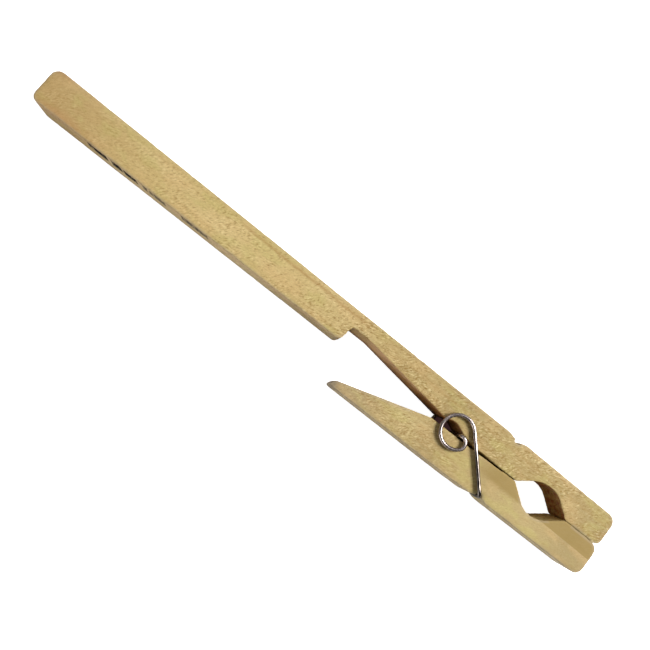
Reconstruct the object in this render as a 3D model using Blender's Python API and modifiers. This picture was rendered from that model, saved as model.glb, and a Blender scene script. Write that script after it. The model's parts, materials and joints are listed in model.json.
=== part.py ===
"""Long-handled spring clothespin of the test-tube-holder pattern.

Two beech arms meet jaw to jaw, and one bent steel wire holds them together. The wire crosses between the
arms and is their fulcrum. On each side face it makes one open loop and a straight leg, whose tail drops into
a groove across the back of an arm.

Frame: +X along the object towards the jaw tips, +Y from the short arm to the long arm, +Z up, square to the
side faces. The origin is at the middle of the footprint, on the plane that the lying object rests on.
"""

import math

import bmesh
import bpy
from mathutils import Matrix, Vector

MM = 0.001

# Driving sizes, in mm. Outline points are measured from the fulcrum in X, and from the jaw plane in Y.
LENGTH = 180.0
JAW_REACH = 44.8  # fulcrum to the jaw tips
BACK_Y = 8.8  # jaw plane to the long arm's back
LEVER_Y = -10.4  # jaw plane to the thumb lever's outer face
WOOD_WIDTH = 12.0
EDGE_RADIUS = 0.6  # tumbled edges of the outside; the sawn inside stays sharp
JAW_GAP = 0.12  # left between the closed jaw tips

WIRE_RADIUS = 0.5
WIRE_CLEARANCE = 0.35  # between the loops and the side faces
WIRE_BEND = 0.95  # centre-line radius where the wire turns a corner
BEND_STEPS = 5
LOOP_STEP = math.radians(10.0)
GROOVE_RADIUS = 0.8

FULCRUM = Vector((0.0, 0.2))
LOOP_CENTRE = Vector((-1.22, 0.04))  # from the fulcrum
LOOP_RADIUS = 4.34
CURL_ANGLE = math.radians(-46.0)  # where the inner curl joins the loop
CURL_WAY = Vector((1.0, -0.1)).normalized()  # the curl's way out of the gap between the arms
CURL_FULLNESS = 1.2
CURL_POINTS = 8
SHORT_TAIL = Vector((12.88, -8.82))
LONG_TAIL = Vector((12.6, 8.2))
TAIL_REACH = 1.5  # how far a tail goes past the middle plane

# The tube hole is a diamond with rounded tips, half of it in each arm.
HOLE_X = 26.0
HOLE_HALF = 7.85
HOLE_SLOPE = math.radians(37.0)
HOLE_RIM_RADIUS = 0.3

STEP_X = -38.4  # where the handle ends and the recess for the lever starts
RECESS_Y = 4.43  # roof of that recess
LONG_TIP_X = JAW_REACH - 0.3
LEVER_ROOT = Vector((-8.3, -0.85))
LEVER_TAIL_X = -34.0
LEVER_SLOPE = math.radians(17.2)
DIP_REACH = 2.5  # half the length of the dip in a back
DIP_RADIUS = 2.5

HANDLE_REACH = LENGTH - JAW_REACH
HALF_WIDTH = WOOD_WIDTH / 2
WIRE_Z = HALF_WIDTH + WIRE_CLEARANCE + WIRE_RADIUS
ORIGIN = Vector(((JAW_REACH - HANDLE_REACH) / 2, (BACK_Y + LEVER_Y) / 2, -WIRE_Z - WIRE_RADIUS))


def clear_scene():
    for obj in list(bpy.data.objects):
        bpy.data.objects.remove(obj, do_unlink=True)


def new_collection(name):
    collection = bpy.data.collections.new(name)
    bpy.context.scene.collection.children.link(collection)
    return collection


def material(name, colour, roughness, metallic):
    made = bpy.data.materials.new(name)
    made.use_nodes = True
    shader = made.node_tree.nodes["Principled BSDF"]
    shader.inputs["Base Color"].default_value = (*colour, 1.0)
    shader.inputs["Roughness"].default_value = roughness
    shader.inputs["Metallic"].default_value = metallic
    return made


def placed(x, y, z=0.0):
    """A point given from the fulcrum and the jaw plane, in the object's frame and in metres."""
    return (Vector((x, y, z)) - ORIGIN) * MM


def rounded_corner(before, corner, after, radius, step=math.radians(12.0)):
    """The arc that rounds one corner of an outline, or the corner itself when its radius is 0."""
    if radius == 0:
        return [corner]
    to_before = (before - corner).normalized()
    to_after = (after - corner).normalized()
    half = to_before.angle(to_after) / 2
    bisector = (to_before + to_after).normalized()
    centre = corner + bisector * (radius / math.sin(half))
    start = corner + to_before * (radius / math.tan(half)) - centre
    end = corner + to_after * (radius / math.tan(half)) - centre
    turn = math.atan2(start.x * end.y - start.y * end.x, start.dot(end))
    steps = max(2, math.ceil(abs(turn) / step))
    arc = []
    for i in range(steps + 1):
        angle = turn * i / steps
        arc.append(centre + Matrix.Rotation(angle, 2) @ start)
    return arc


def rounded_outline(corners):
    """The closed outline through corners given as (x, y, radius)."""
    points = [Vector(corner[:2]) for corner in corners]
    outline = []
    for i, (_, _, radius) in enumerate(corners):
        after = points[(i + 1) % len(points)]
        outline += rounded_corner(points[i - 1], points[i], after, radius)
    return outline


def hole_half(inner_y, outer_y, side, tip_radius):
    """Corners of one arm's half of the tube hole, from the jaw face before it to the jaw face after it."""
    depth = HOLE_HALF * math.tan(HOLE_SLOPE)
    return [
        (HOLE_X - HOLE_HALF, inner_y, HOLE_RIM_RADIUS),
        (HOLE_X, inner_y + side * depth, tip_radius),
        (HOLE_X + HOLE_HALF, outer_y, HOLE_RIM_RADIUS),
    ]


def groove_dip(tail_x, before_y, depth, after_y):
    """Corners of the shallow dip that leads the wire into its groove, in the order of falling X."""
    bottom_y = (before_y + after_y) / 2 - depth
    return [
        (tail_x + DIP_REACH, before_y, DIP_RADIUS),
        (tail_x, bottom_y, EDGE_RADIUS),
        (tail_x - DIP_REACH, after_y, DIP_RADIUS),
    ]


def long_arm_corners():
    """Round the long arm: the handle's end, the inside out to the jaw tip, and the back."""
    jaw_y = JAW_GAP / 2
    return [
        (-HANDLE_REACH, -1.27, 1.8),  # the handle's end, inner corner
        (STEP_X, -0.2, 1.6),  # foot of the step
        (STEP_X + 0.8, RECESS_Y, 0.3),  # top of the step
        (-32.0, RECESS_Y, 6.0),  # the recess starts to taper
        (-6.2, 1.3, 0.8),  # near lip of the fulcrum groove
        (-2.6, 2.15, 3.0),  # bottom of the fulcrum groove
        (0.75, 0.72, 0.8),  # far lip of the fulcrum groove
        (4.5, jaw_y, 3.0),  # the jaw face starts
        *hole_half(jaw_y, jaw_y, 1, 7.0),
        (LONG_TIP_X, jaw_y, 1.6),
        (LONG_TIP_X, BACK_Y - 0.4, 2.4),
        *groove_dip(LONG_TAIL.x, BACK_Y - 0.05, 0.72, BACK_Y),
        (-HANDLE_REACH, BACK_Y, 2.5),
    ]


def short_arm_corners():
    """Round the short arm: the lever's tail, the inside out to the jaw tip, and the outside."""
    tail_top_y = LEVER_ROOT.y + (LEVER_TAIL_X + 1.0 - LEVER_ROOT.x) * math.tan(LEVER_SLOPE)
    return [
        (LEVER_TAIL_X + 1.0, tail_top_y, 1.0),
        (*LEVER_ROOT, 0.8),
        (4.0, -0.7, 1.0),  # under the fulcrum, where the jaw starts to close up
        *hole_half(-0.2, -JAW_GAP / 2, -1, 6.0),
        (JAW_REACH, -JAW_GAP / 2, 2.2),
        (JAW_REACH, -9.0, 2.2),
        *groove_dip(SHORT_TAIL.x, -9.45, -0.85, -9.65),
        (2.0, -9.95, 20.0),  # the lever starts
        (LEVER_TAIL_X, LEVER_Y, EDGE_RADIUS),
    ]


def mesh_from_curve(curve_object):
    """The curve as a closed mesh object, its caps welded on and their triangles merged into one face each."""
    graph = bpy.context.evaluated_depsgraph_get()
    mesh = bpy.data.meshes.new_from_object(curve_object.evaluated_get(graph))
    work = bmesh.new()
    work.from_mesh(mesh)
    bmesh.ops.remove_doubles(work, verts=work.verts, dist=1e-6)
    bmesh.ops.dissolve_limit(work, angle_limit=math.radians(1.0), verts=work.verts, edges=work.edges)
    bmesh.ops.recalc_face_normals(work, faces=work.faces)
    work.to_mesh(mesh)
    work.free()
    made = bpy.data.objects.new(curve_object.name, mesh)
    made.matrix_world = curve_object.matrix_world
    bpy.data.objects.remove(curve_object, do_unlink=True)
    return made


def arm_blank(name, corners, collection):
    """A flat outline sawn from wood of the full width, as a mesh object with its origin on the fulcrum."""
    outline = rounded_outline(corners)
    curve = bpy.data.curves.new(name, "CURVE")
    curve.dimensions = "2D"
    curve.fill_mode = "BOTH"
    curve.extrude = HALF_WIDTH * MM
    spline = curve.splines.new("POLY")
    spline.points.add(len(outline) - 1)
    for point, place in zip(spline.points, outline):
        offset = (place - FULCRUM) * MM
        point.co = (offset.x, offset.y, 0.0, 1.0)
    spline.use_cyclic_u = True
    sawn = bpy.data.objects.new(name + "_outline", curve)
    sawn.location = placed(*FULCRUM)
    collection.objects.link(sawn)
    bpy.context.view_layer.update()
    blank = mesh_from_curve(sawn)
    blank.name = name
    collection.objects.link(blank)
    return blank


def long_arm_tumbled(place):
    """Whether the long arm's outline is tumbled there: its handle, its back and its jaw's end."""
    return place.x < STEP_X - 1.2 or place.y > BACK_Y - 1.5 or place.x > LONG_TIP_X - 0.8


def short_arm_tumbled(place):
    """Whether the short arm's outline is tumbled there: its outside and both its ends."""
    return place.y < LEVER_Y + 2.2 or place.x > JAW_REACH - 0.8 or place.x < LEVER_TAIL_X + 0.5


def round_edges(arm, tumbled):
    """Bevels the edges round the side faces wherever the outline is tumbled."""
    weights = arm.data.attributes.new("bevel_weight_edge", "FLOAT", "EDGE")
    for edge in arm.data.edges:
        start, end = (arm.data.vertices[i].co for i in edge.vertices)
        middle = (start + end) / (2 * MM)
        if start.z == end.z and tumbled(middle.xy + FULCRUM):
            weights.data[edge.index].value = 1.0
    bevel = arm.modifiers.new("tumbled_edges", "BEVEL")
    bevel.width = EDGE_RADIUS * MM
    bevel.segments = 3
    bevel.limit_method = "WEIGHT"


def cut_wire_groove(arm, tail, cutters):
    """The round-bottomed groove across an arm's back, in which a spring tail lies."""
    bpy.ops.mesh.primitive_cylinder_add(
        vertices=24,
        radius=GROOVE_RADIUS * MM,
        depth=(WOOD_WIDTH + 2.0) * MM,
        location=placed(*tail),
    )
    cutter = bpy.context.object
    cutter.name = arm.name + "_groove_cutter"
    cutter.hide_render = True
    cutter.display_type = "WIRE"
    for owner in list(cutter.users_collection):
        owner.objects.unlink(cutter)
    cutters.objects.link(cutter)
    cut = arm.modifiers.new("wire_groove", "BOOLEAN")
    cut.operation = "DIFFERENCE"
    cut.object = cutter


def shade(obj, angle):
    obj.data.shade_smooth()
    if obj.type == "MESH":
        obj.data.set_sharp_from_angle(angle=math.radians(angle))


def make_arm(name, corners, tumbled, tail, wood, parts, cutters):
    arm = arm_blank(name, corners, parts)
    round_edges(arm, tumbled)
    cut_wire_groove(arm, tail, cutters)
    arm.data.materials.append(wood)
    shade(arm, 35.0)
    return arm


def arc_points(centre, radius, start, turn):
    """Points round a circle in the side-face plane, without the first."""
    steps = math.ceil(abs(turn) / LOOP_STEP)
    found = []
    for i in range(1, steps + 1):
        angle = start + turn * i / steps
        found.append(centre + radius * Vector((math.cos(angle), math.sin(angle))))
    return found


def curl_points(start, start_way, end, end_way):
    """A cubic curl from the cross wire out to the loop, without its first point."""
    reach = (end - start).length * CURL_FULLNESS
    found = []
    for i in range(1, CURL_POINTS + 1):
        t = i / CURL_POINTS
        rest = 1 - t
        point = start * (rest**3 + 3 * rest**2 * t) + end * (t**3 + 3 * t**2 * rest)
        point += start_way * (reach * rest**2 * t) - end_way * (reach * t**2 * rest)
        found.append(point)
    return found


def bend_points(before, corner, after):
    """The arc of the wire's bend radius that rounds a square corner in space."""
    back = (before - corner).normalized()
    ahead = (after - corner).normalized()
    centre = corner + (back + ahead) * WIRE_BEND
    found = []
    for i in range(BEND_STEPS + 1):
        angle = math.pi / 2 * i / BEND_STEPS
        found.append(centre - ahead * (WIRE_BEND * math.cos(angle)) - back * (WIRE_BEND * math.sin(angle)))
    return found


def half_spring(tail):
    """Centre line of one half of the wire, from the fulcrum at the middle plane to a tail's tip.

    Places are from the fulcrum, and the half is the one on the +Z side whose leg runs towards -Y."""
    curl_end = LOOP_CENTRE + LOOP_RADIUS * Vector((math.cos(CURL_ANGLE), math.sin(CURL_ANGLE)))
    loop_way = Vector((math.sin(CURL_ANGLE), -math.cos(CURL_ANGLE)))
    to_tail = tail - LOOP_CENTRE
    leave = math.atan2(to_tail.y, to_tail.x) + math.acos(LOOP_RADIUS / to_tail.length)
    turn = leave - 2 * math.pi - CURL_ANGLE
    flat = curl_points(CURL_WAY * WIRE_BEND, CURL_WAY, curl_end, loop_way)
    flat += arc_points(LOOP_CENTRE, LOOP_RADIUS, CURL_ANGLE, turn)

    corner = Vector((0.0, 0.0, WIRE_Z))
    line = [Vector((0.0, 0.0, 0.0))]
    line += bend_points(Vector((0.0, 0.0, 0.0)), corner, corner + CURL_WAY.to_3d())
    line += [Vector((point.x, point.y, WIRE_Z)) for point in flat]
    leg_end = Vector((tail.x, tail.y, WIRE_Z))
    tail_tip = Vector((tail.x, tail.y, -TAIL_REACH))
    line += bend_points(line[-1], leg_end, tail_tip)
    line.append(tail_tip)
    return line


def make_spring(steel, parts):
    """The one wire: a half on the upper side whose tail grips the short arm, then the other, turned over."""
    upper = half_spring(SHORT_TAIL - FULCRUM)
    turned_tail = Vector((LONG_TAIL.x - FULCRUM.x, FULCRUM.y - LONG_TAIL.y))
    lower = [Vector((p.x, -p.y, -p.z)) for p in half_spring(turned_tail)]
    line = list(reversed(upper)) + lower[1:]
    curve = bpy.data.curves.new("spring", "CURVE")
    curve.dimensions = "3D"
    curve.bevel_depth = WIRE_RADIUS * MM
    curve.bevel_resolution = 2
    curve.use_fill_caps = True
    spline = curve.splines.new("POLY")
    spline.points.add(len(line) - 1)
    for point, place in zip(spline.points, line):
        point.co = (*(place * MM), 1.0)
    spline.use_smooth = True
    spring = bpy.data.objects.new("spring", curve)
    spring.location = placed(*FULCRUM)
    parts.objects.link(spring)
    curve.materials.append(steel)
    return spring


def main():
    clear_scene()
    parts = new_collection("clothespin")
    cutters = new_collection("cutters")
    wood = material("beech", (0.58, 0.43, 0.22), 0.62, 0.0)
    steel = material("spring_steel", (0.62, 0.61, 0.6), 0.22, 1.0)
    make_arm("long_arm", long_arm_corners(), long_arm_tumbled, LONG_TAIL, wood, parts, cutters)
    make_arm("short_arm", short_arm_corners(), short_arm_tumbled, SHORT_TAIL, wood, parts, cutters)
    make_spring(steel, parts)


main()
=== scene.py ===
"""Looks of a long-handled spring clothespin: sanded beech arms, one bright bent wire, and a pale studio.

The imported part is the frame. Each arm is its solid remeshed fine, then sanded, nicked and roughened, and the
wire is drawn again with a round section. Meshes are in metres in the part's frame: +X to the jaw tips, +Y to
the long arm's back, +Z up. Places written as numbers are in mm from the fulcrum, where the wire crosses.
"""

import json
import math

import bmesh
import bpy
import numpy as np
from mathutils import Matrix, Vector, noise


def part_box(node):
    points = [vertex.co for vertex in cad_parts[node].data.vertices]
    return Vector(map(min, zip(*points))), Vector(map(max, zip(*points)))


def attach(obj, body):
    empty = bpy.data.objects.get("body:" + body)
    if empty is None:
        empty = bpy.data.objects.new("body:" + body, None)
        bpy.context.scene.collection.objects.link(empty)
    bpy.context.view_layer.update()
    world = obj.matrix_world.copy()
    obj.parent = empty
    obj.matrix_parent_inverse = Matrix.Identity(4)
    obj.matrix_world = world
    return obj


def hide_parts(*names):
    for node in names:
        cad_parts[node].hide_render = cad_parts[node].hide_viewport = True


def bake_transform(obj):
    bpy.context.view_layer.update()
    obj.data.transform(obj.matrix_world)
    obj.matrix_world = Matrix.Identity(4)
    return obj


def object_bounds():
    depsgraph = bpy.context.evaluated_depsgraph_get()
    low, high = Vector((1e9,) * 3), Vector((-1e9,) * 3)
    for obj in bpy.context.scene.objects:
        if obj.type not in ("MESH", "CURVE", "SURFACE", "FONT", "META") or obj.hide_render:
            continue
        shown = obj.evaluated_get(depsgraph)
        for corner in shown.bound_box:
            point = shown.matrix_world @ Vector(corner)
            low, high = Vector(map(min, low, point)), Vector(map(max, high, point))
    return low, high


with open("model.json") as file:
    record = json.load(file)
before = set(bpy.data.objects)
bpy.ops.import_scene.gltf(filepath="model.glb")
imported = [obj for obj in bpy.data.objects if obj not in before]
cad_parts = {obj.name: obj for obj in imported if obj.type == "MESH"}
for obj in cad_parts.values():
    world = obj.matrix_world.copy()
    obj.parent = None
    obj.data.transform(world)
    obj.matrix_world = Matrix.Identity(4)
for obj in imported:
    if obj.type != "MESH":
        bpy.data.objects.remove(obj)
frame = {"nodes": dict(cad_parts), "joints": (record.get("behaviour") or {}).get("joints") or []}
CAD_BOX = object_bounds()

MM = 0.001
FULCRUM = Vector(frame["joints"][0]["pos_m"])

# Where things are on the arms, in mm from the fulcrum.
JAW_PLANE = -0.2  # Y of the plane where the jaws meet
STEP_X = -38.4  # where the handle ends
HOLE_LEFT, HOLE_RIGHT = 18.0, 34.2  # X of the tube hole's two points
# From X to X of each group of ink strokes, and how dark it is.
INK_GROUPS = (
    (-117.6, -111.8, 1.0),
    (-110.2, -107.2, 1.0),
    (-106.4, -102.4, 1.0),
    (-100.4, -97.3, 0.75),
    (-96.8, -93.6, 0.75),
    (-88.2, -84.5, 0.8),
    (-84.0, -80.2, 0.8),
)

# The arms' surface, in mm.
VOXEL = 0.2
SANDING_PASSES = 1
WEAR_PASSES = 31  # smoothing that tells an edge from a face
WEAR_DEPTH = 0.16  # how far that smoothing moves a fully worn edge
WAVE_DEPTH, WAVE_LENGTH = 0.08, 14.0
GRAIN_DEPTH, GRAIN_WIDTH = 0.03, 0.9
NICK_DEPTH, NICK_LENGTH = 0.13, 1.9
SAW_DEPTH, SAW_LENGTH = 0.08, 0.75
STEP_DEPTH, STEP_LENGTH = 0.8, 0.9  # the step's torn face
RAGGED_DEPTH, RAGGED_LENGTH = 0.06, 1.3  # the jaw faces
BORED_DEPTH, BORED_LENGTH = 0.16, 0.8  # the tube hole's faces
BORED_REACH = 7.5  # how far those faces go from the jaw plane
SAWN_END = 36.0  # X where the sharp sawn inside ends
SAWN_MIDDLE, SAWN_HALF = 0.8, 3.8  # Y that the sawn inside of both arms keeps within
SAWN_WEAR = 0.3  # how much of the wear the sawn inside takes
SHUT_START, TIP_X = 9.0, 43.0  # the jaws are shut from here to here, but for the tube hole
SHUT_BAND = 0.35  # how far from the jaw plane a face still counts as the jaw's
SHUT_GAP = 0.02  # left between each shut face and the jaw plane
SLACK_START, SLACK_END = 0.2, 0.14  # what the short arm adds to that gap, from the start to the tube hole

# The wire, in mm from the fulcrum, as the CAD bends it.
WIRE_RADIUS = 0.5
WIRE_BEND = 0.95
WIRE_SIDES = 24
LOOP_CENTRE = Vector((-1.22, 0.04))
LOOP_RADIUS = 4.34
CURL_ANGLE = math.radians(-46.0)
CURL_WAY = Vector((1.0, -0.1)).normalized()
CURL_FULLNESS = 1.2
SHORT_TAIL = Vector((12.88, -9.02))
LONG_TAIL = Vector((12.6, 8.0))
TAIL_REACH = 1.5
CURL_STEPS, LOOP_STEPS, BEND_STEPS = 18, 72, 10
CROSS_STEPS, LEG_STEPS, TAIL_STEPS = 8, 16, 12
WIRE_ENDS = {0: 0.7, 1: 0.96}  # the cut ends' chamfer, ring by ring, as a share of the radius
WIRE_Z = (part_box("spring")[1].z - FULCRUM.z) / MM - WIRE_RADIUS


def srgb(red, green, blue):
    """A screen colour from 0 to 255 as the linear colour that a shader takes."""
    linear = []
    for value in (red, green, blue):
        share = value / 255
        linear.append(share / 12.92 if share <= 0.04045 else ((share + 0.055) / 1.055) ** 2.4)
    return (*linear, 1.0)


class Nodes:
    """Short names for making shader nodes and linking them."""

    def __init__(self, tree):
        self.tree = tree
        self.tree.nodes.clear()

    def add(self, kind, **settings):
        node = self.tree.nodes.new("ShaderNode" + kind)
        for name, value in settings.items():
            setattr(node, name, value)
        return node

    def put(self, socket, value):
        """Links a socket to another, or sets its number, vector or colour."""
        if isinstance(value, bpy.types.NodeSocket):
            self.tree.links.new(value, socket)
        else:
            socket.default_value = value

    def math(self, operation, *values, clamp=False):
        node = self.add("Math", operation=operation, use_clamp=clamp)
        for socket, value in zip(node.inputs, values):
            self.put(socket, value)
        return node.outputs[0]

    def remap(self, value, low, high, to_low=0.0, to_high=1.0):
        """A smooth ramp from to_low at low to to_high at high, held beyond both."""
        node = self.add("MapRange", interpolation_type="SMOOTHSTEP")
        for socket, given in zip(node.inputs, (value, low, high, to_low, to_high)):
            self.put(socket, given)
        return node.outputs[0]

    def mix(self, share, first, second, blend="MIX"):
        node = self.add("Mix", data_type="RGBA", blend_type=blend)
        self.put(node.inputs["Factor"], share)
        self.put(node.inputs[6], first)
        self.put(node.inputs[7], second)
        return node.outputs[2]

    def turned(self, vector, angle=0.0, scale=(1.0, 1.0, 1.0), move=(0.0, 0.0, 0.0)):
        """The vector turned round Z, then stretched and moved."""
        turn = self.add("Mapping", vector_type="POINT")
        self.put(turn.inputs["Vector"], vector)
        turn.inputs["Rotation"].default_value = (0.0, 0.0, angle)
        stretch = self.add("Mapping", vector_type="POINT")
        self.put(stretch.inputs["Vector"], turn.outputs[0])
        stretch.inputs["Scale"].default_value = scale
        stretch.inputs["Location"].default_value = move
        return stretch.outputs[0]

    def noise(self, vector, detail=2.0, roughness=0.5, distortion=0.0):
        node = self.add("TexNoise")
        self.put(node.inputs["Vector"], vector)
        node.inputs["Scale"].default_value = 1.0
        node.inputs["Detail"].default_value = detail
        node.inputs["Roughness"].default_value = roughness
        node.inputs["Distortion"].default_value = distortion
        return node.outputs["Fac"]

    def attribute(self, name, output="Fac"):
        return self.add("Attribute", attribute_name=name).outputs[output]


def new_material(name):
    made = bpy.data.materials.new(name)
    made.use_nodes = True
    nodes = Nodes(made.node_tree)
    shader = nodes.add("BsdfPrincipled")
    output = nodes.add("OutputMaterial")
    nodes.put(output.inputs["Surface"], shader.outputs["BSDF"])
    return made, nodes, shader


# Wood


def wood_place(nodes):
    """The surface point in mm from the fulcrum, as a vector and as its X, Y and Z."""
    centred = nodes.add("VectorMath", operation="SUBTRACT")
    nodes.put(centred.inputs[0], nodes.add("TexCoord").outputs["Object"])
    centred.inputs[1].default_value = FULCRUM
    scaled = nodes.add("VectorMath", operation="SCALE")
    nodes.put(scaled.inputs[0], centred.outputs[0])
    scaled.inputs["Scale"].default_value = 1 / MM
    parts = nodes.add("SeparateXYZ")
    nodes.put(parts.inputs[0], scaled.outputs[0])
    return scaled.outputs[0], parts.outputs


def between(nodes, value, low, high, soft):
    """1 where the value is between low and high, falling to 0 over a soft border."""
    up = nodes.remap(value, low - soft, low)
    down = nodes.remap(value, high, high + soft, 1.0, 0.0)
    return nodes.math("MULTIPLY", up, down)


def facing(nodes):
    """The surface's own direction, as X, Y and Z from -1 to 1."""
    parts = nodes.add("SeparateXYZ")
    nodes.put(parts.inputs[0], nodes.add("TexCoord").outputs["Normal"])
    return parts.outputs


def all_of(nodes, *masks):
    """Masks from 0 to 1 multiplied together."""
    product = masks[0]
    for mask in masks[1:]:
        product = nodes.math("MULTIPLY", product, mask)
    return product


def ray_flecks(nodes, place, seed):
    """The short slanted flecks of beech, from 0 to 1 round 0.5, in two slants and fading in and out."""
    steep_way = nodes.turned(place, angle=-0.85, scale=(1.05, 2.75, 1.8), move=(0, seed, 0))
    low_way = nodes.turned(place, angle=-0.35, scale=(0.88, 3.1, 1.8), move=(seed, 0, 0))
    steep = nodes.noise(steep_way, 3.0, 0.62, 0.2)
    low = nodes.noise(low_way, 3.0, 0.62, 0.2)
    turn = nodes.noise(nodes.turned(place, scale=(0.16, 0.3, 0.3), move=(seed, 0, 0)))
    slants = nodes.add("Mix", data_type="FLOAT")
    nodes.put(slants.inputs[0], nodes.remap(turn, 0.42, 0.58))
    nodes.put(slants.inputs[2], steep)
    nodes.put(slants.inputs[3], low)
    patch = nodes.noise(nodes.turned(place, scale=(0.1, 0.22, 0.22), move=(0, 0, seed)), 2.0)
    strength = nodes.remap(patch, 0.38, 0.6, 0.65, 1.15)
    centred = nodes.math("SUBTRACT", slants.outputs[0], 0.5)
    return nodes.math("ADD", nodes.math("MULTIPLY", centred, strength), 0.5)


def growth_lines(nodes, place, seed):
    """Thin lines that run the length of the wood."""
    along = nodes.turned(place, angle=0.015, scale=(0.012, 0.85, 0.5), move=(seed, seed, 0))
    return nodes.noise(along, 3.0, 0.6, 0.3)


def pores(nodes, place, seed):
    """1 in the scattered dark pores, which lie along the grain."""
    slanted = nodes.turned(place, angle=-0.35, scale=(1.3, 2.8, 2.8), move=(seed, 0, seed))
    return nodes.remap(nodes.noise(slanted, 2.0, 0.6), 0.62, 0.7)


def growth_ring(nodes, place, axes, centre, low, high, fade):
    """1 on one thin wavering ring line at about Y = centre, between two places along the arm."""
    waver = nodes.noise(nodes.turned(place, scale=(0.11, 0.0, 0.0), move=(centre, 0, 0)), 3.0, 0.6)
    line = nodes.math("ADD", nodes.math("MULTIPLY", waver, 1.6), centre - 0.8)
    off = nodes.math("ABSOLUTE", nodes.math("SUBTRACT", axes["Y"], line))
    return all_of(nodes, nodes.remap(off, 0.5, 0.1), between(nodes, axes["X"], low, high, fade))


def ink_marks(nodes, place, axes, way):
    """1 in the worn, meaningless strokes of a faded stamp, in groups along the handle's inner face."""
    groups = 0.0
    for low, high, dark in INK_GROUPS:
        group = nodes.math("MULTIPLY", between(nodes, axes["X"], low, high, 0.3), dark)
        groups = nodes.math("MAXIMUM", groups, group)
    upright = nodes.noise(nodes.turned(place, scale=(1.35, 0.0, 0.12), move=(4.35, 0, 0)), 1.0, 0.5)
    level = nodes.noise(nodes.turned(place, scale=(0.5, 0.0, 0.8), move=(1.7, 0, 0)), 1.0, 0.5)
    strokes = nodes.math("MAXIMUM", nodes.remap(upright, 0.41, 0.45), nodes.remap(level, 0.48, 0.52))
    reach = nodes.noise(nodes.turned(place, scale=(0.55, 0.0, 0.0), move=(9.1, 0, 0)), 1.0, 0.5)
    top = nodes.math("ADD", nodes.math("MULTIPLY", reach, 1.6), 4.7)
    under_top = nodes.remap(nodes.math("SUBTRACT", top, axes["Z"]), 0.0, 0.3)
    over_foot = nodes.remap(axes["Z"], 0.8, 1.2)
    worn = nodes.noise(nodes.turned(place, scale=(1.3, 2.0, 1.6)), 2.0, 0.6)
    inner = nodes.remap(way["Y"], -0.2, -0.4)
    return all_of(nodes, groups, strokes, under_top, over_foot, nodes.remap(worn, 0.2, 0.3), inner)


def heart_streak(nodes, place, axes):
    """1 in the darker growth band along the short arm's jaw, crisp near the tip and fading out behind."""
    waver = nodes.noise(nodes.turned(place, scale=(0.08, 0.2, 0.2)), 1.0)
    border = nodes.math("ADD", nodes.math("MULTIPLY", waver, 0.5), -4.45)
    softness = nodes.remap(axes["X"], 12.0, 30.0, 2.2, 0.18)
    above = nodes.math("DIVIDE", nodes.math("SUBTRACT", axes["Y"], border), softness)
    start = nodes.remap(axes["X"], 5.0, 14.0)
    return nodes.math("MULTIPLY", nodes.remap(above, -0.5, 0.5), start)


def wood_colour(nodes, place, seed, colour, contrast):
    """Beech as sawn and sanded, over its plain colour: hue patches, growth lines, ray flecks and pores."""
    hue = nodes.noise(nodes.turned(place, scale=(0.11, 0.2, 0.2), move=(seed, seed, seed)), 2.0, 0.6)
    colour = nodes.mix(nodes.remap(hue, 0.5, 0.68, 0.0, 0.35), colour, srgb(214, 180, 126))
    colour = nodes.mix(nodes.remap(hue, 0.5, 0.34, 0.0, 0.4), colour, srgb(190, 180, 110))
    lines = nodes.remap(growth_lines(nodes, place, seed), 0.35, 0.72, 0.0, 0.4)
    colour = nodes.mix(nodes.math("MULTIPLY", lines, contrast), colour, srgb(168, 134, 78))
    flecks = ray_flecks(nodes, place, seed)
    dark = nodes.remap(flecks, 0.5, 0.34, 0.0, 0.8)
    colour = nodes.mix(nodes.math("MULTIPLY", dark, contrast), colour, srgb(140, 110, 58))
    light = nodes.remap(flecks, 0.52, 0.68, 0.0, 0.5)
    colour = nodes.mix(nodes.math("MULTIPLY", light, contrast), colour, srgb(240, 222, 166))
    pore = nodes.math("MULTIPLY", pores(nodes, place, seed), contrast)
    colour = nodes.mix(nodes.math("MULTIPLY", pore, 0.6), colour, srgb(120, 88, 46))
    fuzz = nodes.noise(nodes.turned(place, scale=(2.0, 5.0, 5.0)), 2.0, 0.6)
    colour = nodes.mix(nodes.remap(fuzz, 0.3, 0.7, 0.22, 0.0), colour, srgb(126, 96, 54))
    return colour, flecks, pore, fuzz


def finished_hole(nodes, place, axes, way, colour):
    """The tube hole's faces: cutter scorch with painted shade facing -Y, painted light facing +Y."""
    upright = nodes.remap(nodes.math("ABSOLUTE", way["Z"]), 0.75, 0.45)
    from_plane = nodes.math("ABSOLUTE", nodes.math("SUBTRACT", axes["Y"], JAW_PLANE))
    in_hole = between(nodes, axes["X"], HOLE_LEFT, HOLE_RIGHT - 0.4, 0.3)
    in_hole = all_of(nodes, upright, in_hole, nodes.remap(from_plane, 7.6, 7.3))
    scorch = nodes.noise(nodes.turned(place, scale=(0.9, 0.9, 0.5)), 3.0, 0.7)
    uneven = nodes.remap(scorch, 0.35, 0.62, 0.25, 1.0)
    # Painted shade: faces turned to -Y are darkened beyond the cutter's scorch.
    scorch_and_shade = nodes.math("MULTIPLY", uneven, nodes.remap(way["Y"], 0.1, -0.1, 0.1, 1.0))
    colour = nodes.mix(nodes.math("MULTIPLY", in_hole, scorch_and_shade), colour, srgb(140, 84, 54))
    # Painted light: faces turned to +Y are lightened.
    painted_hole_light = nodes.math("MULTIPLY", in_hole, nodes.remap(way["Y"], 0.1, 0.5, 0.0, 0.4))
    return nodes.mix(painted_hole_light, colour, srgb(246, 220, 150))


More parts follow.
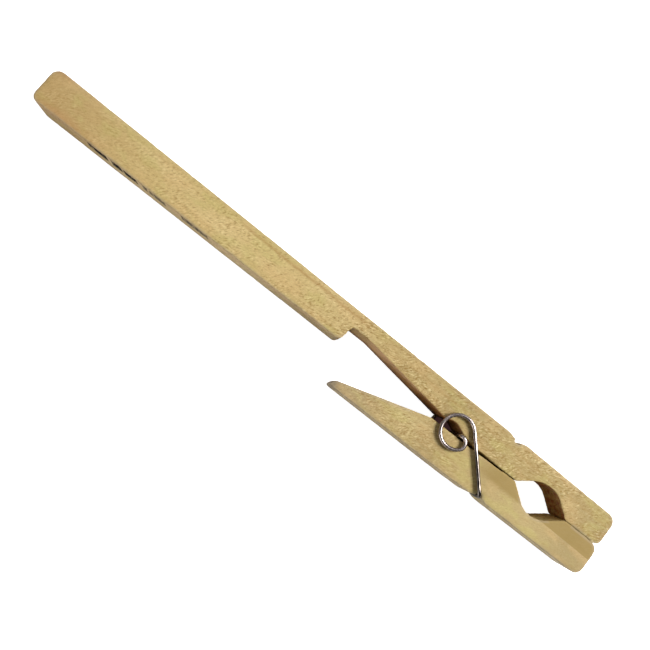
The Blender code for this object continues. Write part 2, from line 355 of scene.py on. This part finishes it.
def worn_dirty_and_shaded(nodes, way, fuzz, colour):
    """Darker end grain, greyed worn edges, and brown dirt with painted shade in the hollows."""
    end_grain = nodes.remap(nodes.math("ABSOLUTE", way["X"]), 0.62, 0.9, 0.0, 0.4)
    colour = nodes.mix(end_grain, colour, srgb(150, 118, 70))
    wear_and_shade = nodes.remap(nodes.attribute("wear"), 0.25, 0.95, 0.0, 0.45)
    grey = nodes.math("MULTIPLY", wear_and_shade, nodes.remap(fuzz, 0.3, 0.6, 0.55, 1.0))
    colour = nodes.mix(grey, colour, srgb(164, 149, 124))
    # Dirt and painted shade: hollows darkened by how deep they sink below their smoothed surroundings.
    return nodes.mix(nodes.math("MULTIPLY", nodes.attribute("dirt_and_shade"), 0.5), colour, srgb(78, 50, 30))


def wood_relief(nodes, flecks, fuzz, pore, contrast):
    """The bumped normal of raised flecks and sunken pores."""
    height = nodes.math("ADD", nodes.math("MULTIPLY", flecks, 0.6), nodes.math("MULTIPLY", fuzz, 0.35))
    height = nodes.math("SUBTRACT", height, nodes.math("MULTIPLY", pore, 0.5))
    bump = nodes.add("Bump")
    nodes.put(bump.inputs["Strength"], nodes.math("MULTIPLY", contrast, 0.6))
    bump.inputs["Distance"].default_value = 0.16 * MM
    nodes.put(bump.inputs["Height"], height)
    return bump.outputs["Normal"]


def wood_material(name, seed, pale, brown, plain, extra):
    """Bare sanded beech.

    plain(nodes, axes, colour) gives an arm's plain colour and the contrast of its figure, along its length.
    extra(nodes, place, axes, way, colour) paints over the figure what only that arm has.
    """
    made, nodes, shader = new_material(name)
    place, axes = wood_place(nodes)
    way = facing(nodes)
    tone = nodes.noise(nodes.turned(place, scale=(0.022, 0.11, 0.11), move=(seed, 1.7, 0)), 2.0)
    colour, contrast = plain(nodes, axes, nodes.mix(nodes.remap(tone, 0.3, 0.7), pale, brown))
    colour, flecks, pore, fuzz = wood_colour(nodes, place, seed, colour, contrast)
    colour = extra(nodes, place, axes, way, colour)
    colour = finished_hole(nodes, place, axes, way, colour)
    colour = worn_dirty_and_shaded(nodes, way, fuzz, colour)
    nodes.put(shader.inputs["Base Color"], colour)
    nodes.put(shader.inputs["Normal"], wood_relief(nodes, flecks, fuzz, pore, contrast))
    black = nodes.add("RGBToBW")
    nodes.put(black.inputs[0], colour)
    inked = nodes.remap(black.outputs[0], 0.08, 0.01, 0.0, 0.4)
    nodes.put(shader.inputs["Roughness"], nodes.math("ADD", nodes.remap(flecks, 0.3, 0.7, 0.68, 0.56), inked))
    shader.inputs["Specular IOR Level"].default_value = 0.2
    return made


def shaded_round_loop(nodes, axes, colour):
    """Painted shade: the wood a little darker across the arms round the wire's loop."""
    # Painted shade round the wire's loop.
    wear_and_shade = nodes.math("MULTIPLY", between(nodes, axes["X"], -6.5, -2.5, 4.0), 0.42)
    return nodes.mix(wear_and_shade, colour, srgb(150, 130, 86))


def long_arm_plain(nodes, axes, colour):
    """Darker and browner at the handle's end, and painted shade towards the jaw, at its tip and round the
    loop.
    """
    darker_share = nodes.remap(axes["X"], -135.0, -92.0, 0.7, 0.0)
    colour = nodes.mix(darker_share, colour, srgb(178, 146, 96))
    # Painted shade: darker towards the jaw and its tip, where the studio light falls off.
    jaw_shade = nodes.remap(axes["X"], -70.0, -2.0, 0.0, 0.64)
    colour = nodes.mix(jaw_shade, colour, srgb(158, 139, 91))
    tip = nodes.remap(axes["X"], 26.0, 44.0, 0.0, 0.45)
    colour = nodes.mix(tip, colour, srgb(140, 120, 76))
    colour = shaded_round_loop(nodes, axes, colour)
    figure = (
        nodes.remap(axes["X"], -128.0, -66.0, 0.38, 0.76),
        nodes.remap(axes["X"], -46.0, -34.0, 1.0, 1.33),
        nodes.remap(axes["X"], -12.0, 14.0, 1.0, 0.94),
    )
    return colour, all_of(nodes, *figure)


def short_arm_plain(nodes, axes, colour):
    """Darker at the lever's end, painted shade towards the jaw tip and round the loop, and almost plain along
    the jaw.
    """
    # Painted shade: darker towards the jaw tip, where the studio light falls off.
    tip = nodes.remap(axes["X"], 26.0, 40.0, 0.0, 0.55)
    jaw_shade = nodes.math("ADD", nodes.remap(axes["X"], -10.0, 12.0, 0.0, 0.15), tip)
    colour = nodes.mix(jaw_shade, colour, srgb(152, 132, 88))
    lever = nodes.remap(axes["X"], -16.0, -27.0, 0.0, 0.42)
    colour = nodes.mix(lever, colour, srgb(146, 126, 100))
    colour = shaded_round_loop(nodes, axes, colour)
    return colour, nodes.remap(axes["X"], -10.0, 18.0, 0.72, 0.22)


def long_arm_extra(nodes, place, axes, way, colour):
    """Stained edges, two ring lines, ink; painted sheen on the inner face, painted shade and light in the
    recess.
    """
    along_edge = nodes.math("ABSOLUTE", nodes.math("SUBTRACT", axes["Y"], 3.6))
    stain_noise = nodes.noise(nodes.turned(place, scale=(0.06, 0.2, 0.2)), 2.0)
    at_end = nodes.remap(axes["X"], -104.0, -128.0)
    stain = all_of(nodes, nodes.remap(along_edge, 1.6, 4.6), nodes.remap(stain_noise, 0.4, 0.6), at_end)
    colour = nodes.mix(nodes.math("MULTIPLY", stain, 0.35), colour, srgb(168, 116, 72))
    for centre, low, high, depth in ((7.0, -72.0, -38.0, 0.35), (7.1, -112.0, -92.0, 0.15)):
        ring = growth_ring(nodes, place, axes, centre, low, high, 6.0)
        colour = nodes.mix(nodes.math("MULTIPLY", ring, depth), colour, srgb(150, 108, 56))
    # Painted sheen and light: the handle's inner face paler and greyer, darker towards the step.
    inward = nodes.remap(way["Y"], -0.45, -0.8)
    on_handle = nodes.remap(axes["X"], STEP_X + 0.6, STEP_X - 0.6)
    sheen_fade = nodes.remap(axes["X"], -70.0, -42.0)
    inner = nodes.mix(sheen_fade, srgb(222, 198, 158), srgb(140, 118, 88))
    inner = nodes.mix(nodes.remap(axes["Z"], 0.0, 6.0, 0.0, 0.6), inner, srgb(208, 164, 124))
    share = nodes.math("MULTIPLY", nodes.remap(axes["X"], -124.0, -108.0, 0.25, 1.0), 0.5)
    colour = nodes.mix(all_of(nodes, inward, on_handle, share), colour, inner)
    # Painted shade on the recess's roof, warmer and deeper towards the fulcrum and darkest along its lower
    # edge, with painted bounce light in its middle.
    past_step = nodes.remap(axes["X"], STEP_X, STEP_X + 1.0)
    roof = all_of(nodes, inward, past_step, nodes.remap(axes["X"], 2.0, -1.0))
    roof_shade = nodes.remap(axes["X"], -36.0, -10.0, 0.35, 0.8)
    colour = nodes.mix(nodes.math("MULTIPLY", roof, roof_shade), colour, srgb(192, 142, 98))
    bounced = nodes.math("MULTIPLY", roof, between(nodes, axes["X"], -29.0, -17.0, 5.0))
    colour = nodes.mix(nodes.math("MULTIPLY", bounced, 0.75), colour, srgb(238, 194, 146))
    roof_low_shade = nodes.math("MULTIPLY", roof, nodes.remap(axes["Z"], 0.0, -6.0, 0.0, 0.75))
    colour = nodes.mix(roof_low_shade, colour, srgb(90, 40, 30))
    return nodes.mix(ink_marks(nodes, place, axes, way), colour, srgb(0, 0, 0))


def short_arm_extra(nodes, place, axes, way, colour):
    """The darker growth band along the jaw, painted sheen on the lever's outer face, and the lever's rubbed
    grey tip.
    """
    streak = heart_streak(nodes, place, axes)
    colour = nodes.mix(nodes.math("MULTIPLY", streak, 0.85), colour, srgb(150, 126, 72))
    # Painted sheen: the lever's outer face lightened.
    outer_face_sheen = nodes.math("MULTIPLY", nodes.remap(way["Y"], -0.4, -0.8), nodes.remap(axes["Y"], -6.5, -7.5))
    colour = nodes.mix(nodes.math("MULTIPLY", outer_face_sheen, 0.3), colour, srgb(212, 196, 170))
    wear_and_shade = nodes.noise(nodes.turned(place, scale=(0.4, 0.4, 0.4)), 2.0)
    ragged_x = nodes.math("ADD", axes["X"], nodes.math("MULTIPLY", wear_and_shade, 3.0))
    tip = nodes.remap(ragged_x, -28.5, -31.5, 0.0, 0.8)
    return nodes.mix(tip, colour, srgb(120, 106, 86))


def fine_copy(node, name):
    """A CAD node's solid as a new mesh of even small faces."""
    mesh = node.data.copy()
    work = bmesh.new()
    work.from_mesh(mesh)
    bmesh.ops.remove_doubles(work, verts=work.verts, dist=0.001 * MM)
    work.to_mesh(mesh)
    work.free()
    welded = bpy.data.objects.new(name + "_welded", mesh)
    bpy.context.scene.collection.objects.link(welded)
    remesh = welded.modifiers.new("even_faces", "REMESH")
    remesh.mode = "VOXEL"
    remesh.voxel_size = VOXEL * MM
    graph = bpy.context.evaluated_depsgraph_get()
    fine = bpy.data.meshes.new_from_object(welded.evaluated_get(graph))
    bpy.data.objects.remove(welded)
    fine.name = name
    fine.materials.clear()
    return fine


def points_of(mesh):
    points = np.empty(len(mesh.vertices) * 3)
    mesh.vertices.foreach_get("co", points)
    return points.reshape(-1, 3)


def normals_of(mesh):
    normals = np.empty(len(mesh.vertices) * 3)
    mesh.vertices.foreach_get("normal", normals)
    return normals.reshape(-1, 3)


def edges_of(mesh):
    edges = np.empty(len(mesh.edges) * 2, np.int64)
    mesh.edges.foreach_get("vertices", edges)
    return edges.reshape(-1, 2)


def smoothed(values, edges, passes):
    """Each point's value moved towards its neighbours' mean, pass after pass."""
    neighbours = np.bincount(edges.ravel(), minlength=len(values))[:, None]
    for _ in range(passes):
        total = np.zeros_like(values)
        for axis in range(values.shape[1]):
            total[:, axis] = np.bincount(edges[:, 0], values[edges[:, 1], axis], len(values))
            total[:, axis] += np.bincount(edges[:, 1], values[edges[:, 0], axis], len(values))
        values = values * 0.4 + total / neighbours * 0.6
    return values


def noise_at(points, scale, seed):
    """Smooth noise from -1 to 1 at points in mm, each axis divided by its own scale."""
    offset = Vector((seed, 2.3 * seed, 5.1 * seed))
    stretched = points / np.array(scale)
    return np.array([noise.noise(Vector(point) + offset) for point in stretched])


def worn_depth(place, normals, wear, ragged, seed):
    """How deep in mm each point of an arm's surface is worn, nicked, sawn, torn or bored away."""
    wave = noise_at(place, (WAVE_LENGTH,) * 3, seed)
    grain = noise_at(place, (8 * GRAIN_WIDTH, GRAIN_WIDTH, GRAIN_WIDTH), seed + 3)
    nick = np.clip(noise_at(place, (NICK_LENGTH,) * 3, seed + 7) * 2.2 - 0.35, 0.0, 1.0)
    saw = noise_at(place, (SAW_LENGTH, SAW_LENGTH, 3 * SAW_LENGTH), seed + 11)
    torn = noise_at(place, (STEP_LENGTH, STEP_LENGTH, 8 * STEP_LENGTH), seed + 13)
    coarse = noise_at(place, (BORED_LENGTH, BORED_LENGTH, 2 * BORED_LENGTH), seed + 19)
    from_plane = np.abs(place[:, 1] - JAW_PLANE)
    cross_cut = np.clip((np.abs(normals[:, 0]) - 0.45) / 0.3, 0.0, 1.0)
    step = cross_cut * (np.abs(place[:, 0] - STEP_X) < 2.0) * np.clip((3.6 - place[:, 1]) / 0.8, 0.0, 1.0)
    meeting = (place[:, 0] > 2.5) & (from_plane < 0.6) & (np.abs(normals[:, 1]) > 0.5)
    bored = (place[:, 0] > HOLE_LEFT) & (place[:, 0] < HOLE_RIGHT) & (np.abs(normals[:, 2]) < 0.5)
    bored = bored & (from_plane < BORED_REACH)
    depth = WAVE_DEPTH * (0.5 + 0.5 * wave) * wear
    depth += GRAIN_DEPTH * (0.5 + 0.5 * grain)
    depth += NICK_DEPTH * nick * wear * (1 - 0.7 * cross_cut)
    depth += SAW_DEPTH * (0.5 + 0.5 * saw) * cross_cut
    depth += STEP_DEPTH * np.clip(0.4 + 1.1 * torn, 0.0, 1.0) * step
    depth[bored] = BORED_DEPTH * np.clip(0.4 + coarse[bored], 0.0, 1.0)
    depth[meeting] = RAGGED_DEPTH * np.clip(0.25 + 0.9 * ragged[meeting], 0.0, 1.0)
    return depth


def shut_jaws(points, place, normals, ragged):
    """Moves the jaw faces up to the plane where they meet, on both sides of the tube hole."""
    offset = place[:, 1] - JAW_PLANE
    side = np.sign(offset)
    past_hole = (place[:, 0] > HOLE_RIGHT) & (place[:, 0] < TIP_X)
    before_hole = (place[:, 0] > SHUT_START) & (place[:, 0] < HOLE_LEFT)
    closed = (past_hole | before_hole) & (np.abs(offset) < SHUT_BAND) & (normals[:, 1] * side < -0.25)
    slack = np.interp(place[:, 0], (SHUT_START, HOLE_LEFT), (SLACK_START, SLACK_END))
    slack = slack * (before_hole & (side < 0))
    shut = JAW_PLANE + side * (SHUT_GAP + slack + RAGGED_DEPTH * np.clip(ragged, 0.0, 1.0))
    points[closed, 1] = (FULCRUM.y + shut * MM)[closed]


def weathered(mesh, seed):
    """Sands, wears and roughens a fine mesh, always inwards but for the jaws, which it shuts."""
    edges = edges_of(mesh)
    points = smoothed(points_of(mesh), edges, SANDING_PASSES)
    mesh.vertices.foreach_set("co", points.ravel())
    mesh.update()
    normals = normals_of(mesh)
    rounded = smoothed(points, edges, WEAR_PASSES)
    bulge = ((points - rounded) * normals).sum(axis=1) / (WEAR_DEPTH * MM)
    # How far each point sinks into a hollow, for the dirt and painted shade there.
    dirt_and_shade = np.clip(-bulge, 0.0, 1.0)
    place = (points - np.array(FULCRUM)) / MM
    sawn_inside = (place[:, 0] > STEP_X) & (place[:, 0] < SAWN_END)
    sawn_inside = sawn_inside & (np.abs(place[:, 1] - SAWN_MIDDLE) < SAWN_HALF)
    wear = np.clip(bulge, 0.0, 1.0) * np.where(sawn_inside, SAWN_WEAR, 1.0)
    ragged = noise_at(place, (RAGGED_LENGTH, 3 * RAGGED_LENGTH, RAGGED_LENGTH), seed + 17)
    points = points - normals * (worn_depth(place, normals, wear, ragged, seed) * MM)[:, None]
    shut_jaws(points, place, normals, ragged)
    mesh.vertices.foreach_set("co", points.ravel())
    mesh.update()
    for name, values in (("wear", wear), ("dirt_and_shade", dirt_and_shade)):
        mesh.attributes.new(name, "FLOAT", "POINT").data.foreach_set("value", values.astype(np.float32))


def make_arm(node_name, seed, finish):
    piece_name = "sanded_" + node_name
    mesh = fine_copy(frame["nodes"][node_name], piece_name)
    weathered(mesh, seed)
    mesh.shade_smooth()
    mesh.materials.append(finish)
    arm = bpy.data.objects.new(piece_name, mesh)
    bpy.context.scene.collection.objects.link(arm)
    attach(arm, node_name)
    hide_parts(node_name)


# Wire


def arc_points(centre, radius, start, turn, steps):
    """Points round a circle in the side-face plane, without the first."""
    found = []
    for i in range(1, steps + 1):
        angle = start + turn * i / steps
        found.append(centre + radius * Vector((math.cos(angle), math.sin(angle))))
    return found


def curl_points(start, start_way, end, end_way, steps):
    """A cubic curl from the cross wire out to the loop, without its first point."""
    reach = (end - start).length * CURL_FULLNESS
    found = []
    for i in range(1, steps + 1):
        t = i / steps
        rest = 1 - t
        point = start * (rest**3 + 3 * rest**2 * t) + end * (t**3 + 3 * t**2 * rest)
        point += start_way * (reach * rest**2 * t) - end_way * (reach * t**2 * rest)
        found.append(point)
    return found


def bend_points(before, corner, after):
    """The arc of the wire's bend radius that rounds a square corner in space."""
    back = (before - corner).normalized()
    ahead = (after - corner).normalized()
    centre = corner + (back + ahead) * WIRE_BEND
    found = []
    for i in range(BEND_STEPS + 1):
        angle = math.pi / 2 * i / BEND_STEPS
        found.append(centre - ahead * (WIRE_BEND * math.cos(angle)) - back * (WIRE_BEND * math.sin(angle)))
    return found


def straight_points(start, end, steps):
    """Even points along a straight run, without its two ends."""
    return [start.lerp(end, i / steps) for i in range(1, steps)]


def half_wire(tail):
    """Centre line of the half on the +Z side, from the fulcrum at the middle plane to a tail's tip."""
    curl_end = LOOP_CENTRE + LOOP_RADIUS * Vector((math.cos(CURL_ANGLE), math.sin(CURL_ANGLE)))
    loop_way = Vector((math.sin(CURL_ANGLE), -math.cos(CURL_ANGLE)))
    to_tail = tail - LOOP_CENTRE
    leave = math.atan2(to_tail.y, to_tail.x) + math.acos(LOOP_RADIUS / to_tail.length)
    turn = leave - 2 * math.pi - CURL_ANGLE
    flat = curl_points(CURL_WAY * WIRE_BEND, CURL_WAY, curl_end, loop_way, CURL_STEPS)
    flat += arc_points(LOOP_CENTRE, LOOP_RADIUS, CURL_ANGLE, turn, LOOP_STEPS)

    middle = Vector((0.0, 0.0, 0.0))
    corner = Vector((0.0, 0.0, WIRE_Z))
    first_bend = bend_points(middle, corner, corner + CURL_WAY.to_3d())
    line = [middle, *straight_points(middle, first_bend[0], CROSS_STEPS), *first_bend]
    line += [Vector((point.x, point.y, WIRE_Z)) for point in flat]
    leg_end = Vector((tail.x, tail.y, WIRE_Z))
    tail_tip = Vector((tail.x, tail.y, -TAIL_REACH))
    last_bend = bend_points(line[-1], leg_end, tail_tip)
    line += straight_points(line[-1], last_bend[0], LEG_STEPS)
    line += [*last_bend, *straight_points(last_bend[-1], tail_tip, TAIL_STEPS), tail_tip]
    return line


def whole_wire():
    """Centre line of the one wire: the short arm's half backwards, then the long arm's half, turned over."""
    turned_tail = Vector((LONG_TAIL.x, -LONG_TAIL.y))
    lower = [Vector((point.x, -point.y, -point.z)) for point in half_wire(turned_tail)]
    return list(reversed(half_wire(SHORT_TAIL))) + lower[1:]


def swept(name, line, radii):
    """A round tube along a line in mm. Its attribute "drawn" holds the way along it and round it."""
    line = [np.array(point) for point in line]
    normal = np.array((0.0, 1.0, 0.0))
    along = 0.0
    rings, drawn = [], []
    for i, centre in enumerate(line):
        tangent = line[min(i + 1, len(line) - 1)] - line[max(i - 1, 0)]
        tangent /= np.linalg.norm(tangent)
        if abs(normal @ tangent) > 0.99:
            normal = np.array((1.0, 0.0, 0.0))
        normal = normal - tangent * (normal @ tangent)
        normal /= np.linalg.norm(normal)
        side = np.cross(tangent, normal)
        along += np.linalg.norm(centre - line[max(i - 1, 0)])
        for k in range(WIRE_SIDES):
            angle = 2 * math.pi * k / WIRE_SIDES
            rings.append(centre + radii[i] * (math.cos(angle) * normal + math.sin(angle) * side))
            drawn.append((along, math.cos(angle), math.sin(angle)))
    faces = []
    for i in range(len(line) - 1):
        for k in range(WIRE_SIDES):
            after = (k + 1) % WIRE_SIDES
            low, high = i * WIRE_SIDES, (i + 1) * WIRE_SIDES
            faces.append((low + k, low + after, high + after, high + k))
    last = (len(line) - 1) * WIRE_SIDES
    faces.append(tuple(reversed(range(WIRE_SIDES))))
    faces.append(tuple(last + k for k in range(WIRE_SIDES)))
    mesh = bpy.data.meshes.new(name)
    mesh.from_pydata([tuple(np.array(FULCRUM) + point * MM) for point in rings], [], faces)
    mesh.attributes.new("drawn", "FLOAT_VECTOR", "POINT").data.foreach_set("vector", np.array(drawn).ravel())
    return mesh


def wire_material():
    """Bright drawn steel with die lines along it and darker patches from handling, rubbed dull round the
    loops, which painted light makes brighter than the leg.
    """
    made, nodes, shader = new_material("drawn_steel")
    drawn = nodes.attribute("drawn", "Vector")
    lines = nodes.noise(nodes.turned(drawn, scale=(0.25, 5.0, 5.0)), 3.0, 0.65)
    patches = nodes.noise(nodes.turned(drawn, scale=(0.5, 0.9, 0.9), move=(3.0, 0, 0)), 3.0, 0.6)
    axes = wood_place(nodes)[1]
    across = nodes.math("SUBTRACT", axes["X"], LOOP_CENTRE.x)
    squares = nodes.math("ADD", nodes.math("POWER", across, 2.0), nodes.math("POWER", axes["Y"], 2.0))
    from_centre = nodes.math("SQRT", squares)
    # Round the loops the steel is rubbed dull and given painted light: a paler colour than the leg's.
    dull_and_lit = nodes.remap(from_centre, 7.6, 5.4)
    darker_share = nodes.remap(patches, 0.35, 0.65)
    leg = nodes.mix(darker_share, srgb(116, 108, 102), srgb(78, 71, 67))
    loop = nodes.mix(darker_share, srgb(192, 179, 175), srgb(156, 144, 141))
    colour = nodes.mix(dull_and_lit, leg, loop)
    colour = nodes.mix(nodes.remap(lines, 0.55, 0.72, 0.0, 0.2), colour, srgb(70, 60, 55))
    nodes.put(shader.inputs["Base Color"], colour)
    shader.inputs["Metallic"].default_value = 1.0
    rough = nodes.math("ADD", nodes.remap(patches, 0.3, 0.7, 0.1, 0.2), nodes.math("MULTIPLY", dull_and_lit, 0.12))
    nodes.put(shader.inputs["Roughness"], rough)
    bump = nodes.add("Bump")
    bump.inputs["Strength"].default_value = 0.06
    bump.inputs["Distance"].default_value = 0.02 * MM
    nodes.put(bump.inputs["Height"], lines)
    nodes.put(shader.inputs["Normal"], bump.outputs["Normal"])
    return made


def make_wire():
    line = whole_wire()
    radii = []
    for i in range(len(line)):
        from_end = min(i, len(line) - 1 - i)
        radii.append(WIRE_RADIUS * WIRE_ENDS.get(from_end, 1.0))
    mesh = swept("bent_wire", line, radii)
    mesh.shade_smooth()
    mesh.set_sharp_from_angle(angle=math.radians(50.0))
    mesh.materials.append(wire_material())
    wire = bpy.data.objects.new("bent_wire", mesh)
    bpy.context.scene.collection.objects.link(wire)
    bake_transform(wire)
    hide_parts("spring")


# Studio

CAMERA_PLACE = Vector((-2.36, -20.96, 211.5)) * MM
CAMERA_AIM = Vector((1.96, 2.77, 0.0)) * MM
CAMERA_ROLL = math.radians(49.06)
CAMERA_LENS = 44.53
FLOOR_HALF = 4.0
STUDIO_MIDDLE = Vector((-0.045, 0.004, 0.0))  # of the object, from the fulcrum
KEY_WAY = Vector((0.775, 0.632, 1.0)).normalized()  # towards the key light
KEY_DISTANCE = 0.9
KEY_SIDE = 0.33
KEY_POWER = 10.9
TOP_WAY = Vector((-0.5, 0.4, 1.0))
TOP_DISTANCE = 0.7
TOP_SIDE = 0.35
TOP_POWER = 0.5
FILL_WAY = Vector((-0.35, -1.0, 0.22))
FILL_DISTANCE = 0.8
FILL_SIDE = 0.45
FILL_POWER = 1.9
SKY_LOW, SKY_HIGH = 0.2, 0.1
BACKDROP = 1.0
FLOOR_ALBEDO = 0.85
FLOOR_GLOW = 0.97
# GAP_LOW and GAP_HIGH bound the table's painted shadow.
GAP_LOW, GAP_HIGH = Vector((-5.6, -1.5)), Vector((4.0, 5.0))  # under the slot between the arms


def make_camera():
    data = bpy.data.cameras.new("camera")
    data.lens = CAMERA_LENS
    data.sensor_width = 36.0
    data.clip_start = 0.01
    camera = bpy.data.objects.new("camera", data)
    look = (CAMERA_AIM - CAMERA_PLACE).to_track_quat("-Z", "Y")
    turn = look.to_matrix() @ Matrix.Rotation(CAMERA_ROLL, 3, "Z")
    camera.matrix_world = Matrix.Translation(CAMERA_PLACE) @ turn.to_4x4()
    bpy.context.scene.collection.objects.link(camera)
    bpy.context.scene.camera = camera


def area_light(name, way, distance, side, power):
    data = bpy.data.lights.new(name, "AREA")
    data.size = side
    data.energy = power
    light = bpy.data.objects.new(name, data)
    light.location = FULCRUM + STUDIO_MIDDLE + way.normalized() * distance
    light.rotation_euler = (-way).to_track_quat("-Z", "Y").to_euler()
    bpy.context.scene.collection.objects.link(light)


def make_sky():
    """A dim studio that is brighter overhead, behind a plain pale backdrop."""
    world = bpy.data.worlds.new("studio")
    bpy.context.scene.world = world
    world.use_nodes = True
    nodes = Nodes(world.node_tree)
    way = nodes.add("SeparateXYZ")
    nodes.put(way.inputs[0], nodes.add("TexCoord").outputs["Generated"])
    room = nodes.add("Background")
    room.inputs["Color"].default_value = (1.0, 1.0, 1.0, 1.0)
    nodes.put(room.inputs["Strength"], nodes.remap(way.outputs["Z"], 0.1, 0.9, SKY_LOW, SKY_HIGH))
    backdrop = nodes.add("Background")
    backdrop.inputs["Color"].default_value = (1.0, 1.0, 1.0, 1.0)
    backdrop.inputs["Strength"].default_value = BACKDROP
    choose = nodes.add("MixShader")
    nodes.put(choose.inputs[0], nodes.add("LightPath").outputs["Is Camera Ray"])
    nodes.put(choose.inputs[1], room.outputs[0])
    nodes.put(choose.inputs[2], backdrop.outputs[0])
    nodes.put(nodes.add("OutputWorld").inputs["Surface"], choose.outputs[0])


def make_floor():
    """A pale table that shows as white to the camera and bounces less light than it shows, with a painted
    shadow under the slot between the arms.
    """
    mesh = bpy.data.meshes.new("table")
    work = bmesh.new()
    flat = Matrix.Translation((0.0, 0.0, CAD_BOX[0].z))
    bmesh.ops.create_grid(work, x_segments=1, y_segments=1, size=FLOOR_HALF, matrix=flat)
    work.to_mesh(mesh)
    work.free()
    table = bpy.data.objects.new("table", mesh)
    made = bpy.data.materials.new("table_white")
    made.use_nodes = True
    nodes = Nodes(made.node_tree)
    surface = nodes.add("BsdfDiffuse")
    axes = wood_place(nodes)[1]
    # Painted shadow: the table darker, in both colour and glow, under the slot between the arms.
    starts = nodes.remap(axes["X"], GAP_LOW.x - 0.3, GAP_LOW.x)
    ends = nodes.remap(axes["X"], GAP_HIGH.x + 4.0, GAP_HIGH.x)
    painted_gap_shadow = all_of(nodes, starts, ends, between(nodes, axes["Y"], GAP_LOW.y, GAP_HIGH.y, 0.5))
    nodes.put(surface.inputs["Color"], nodes.mix(painted_gap_shadow, (FLOOR_ALBEDO,) * 3 + (1.0,), srgb(150, 112, 96)))
    glow = nodes.add("Emission")
    nodes.put(glow.inputs["Color"], nodes.mix(painted_gap_shadow, (FLOOR_GLOW,) * 3 + (1.0,), srgb(44, 28, 31)))
    nodes.put(glow.inputs["Strength"], nodes.add("LightPath").outputs["Is Camera Ray"])
    both = nodes.add("AddShader")
    nodes.put(both.inputs[0], surface.outputs[0])
    nodes.put(both.inputs[1], glow.outputs[0])
    nodes.put(nodes.add("OutputMaterial").inputs["Surface"], both.outputs[0])
    mesh.materials.append(made)
    bpy.context.scene.collection.objects.link(table)


bpy.context.scene.view_settings.view_transform = "Standard"
make_camera()
make_sky()
area_light("key", KEY_WAY, KEY_DISTANCE, KEY_SIDE, KEY_POWER)
area_light("top", TOP_WAY, TOP_DISTANCE, TOP_SIDE, TOP_POWER)
area_light("fill", FILL_WAY, FILL_DISTANCE, FILL_SIDE, FILL_POWER)
make_floor()
long_tones = srgb(218, 196, 140), srgb(202, 177, 119)
short_tones = srgb(200, 181, 130), srgb(183, 161, 110)
make_arm("long_arm", 1, wood_material("long_beech", 11.0, *long_tones, long_arm_plain, long_arm_extra))
make_arm("short_arm", 2, wood_material("short_beech", 37.0, *short_tones, short_arm_plain, short_arm_extra))
make_wire()
